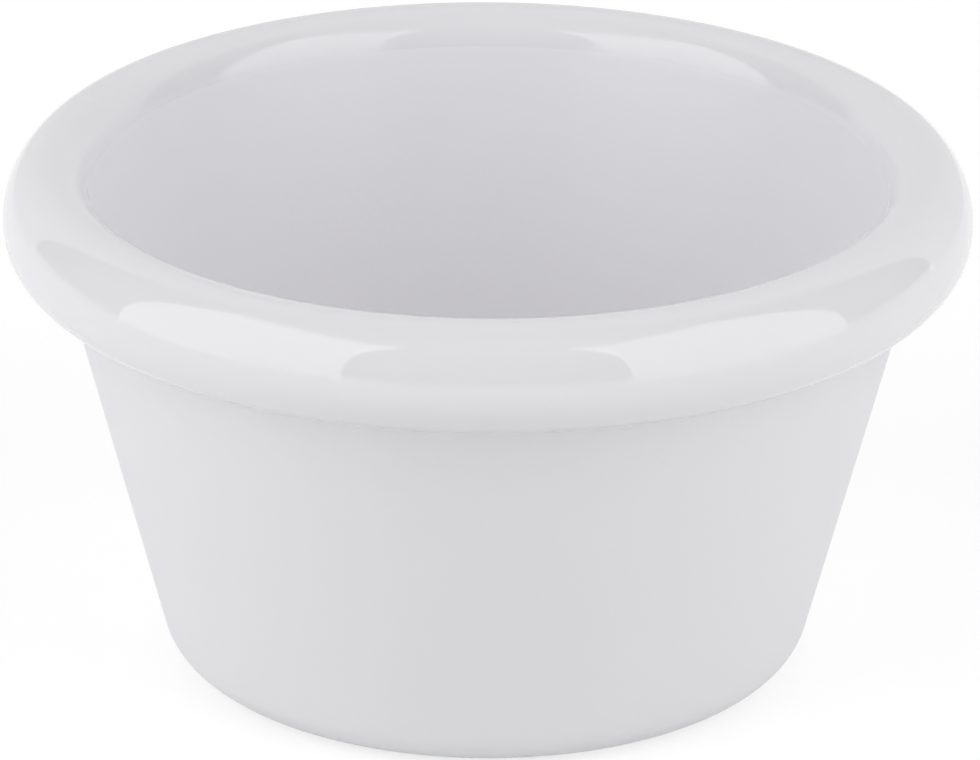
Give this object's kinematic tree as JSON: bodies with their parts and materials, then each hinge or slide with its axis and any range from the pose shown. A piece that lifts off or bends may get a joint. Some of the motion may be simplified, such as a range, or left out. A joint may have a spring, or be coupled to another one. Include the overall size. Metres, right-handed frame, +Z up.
{
  "type": "dip bowl",
  "caption": "Small round white dip bowl for sauce or butter, moulded in one piece, with a thick rolled rim, a straight tapered wall and a ringed foot to stand on.",
  "frame": {"origin": "on the table, at the centre of the foot ring", "axes": "+Z up along the bowl's axis; X and Y are alike, because the bowl is round"},
  "size_m": [0.07, 0.07, 0.038],
  "materials": {
    "white_melamine": "moulded white melamine, polished on the rolled rim and satin on the walls, inside and out"
  },
  "bodies": {
    "root": {"bowl": "white_melamine"}
  },
  "joints": []
}
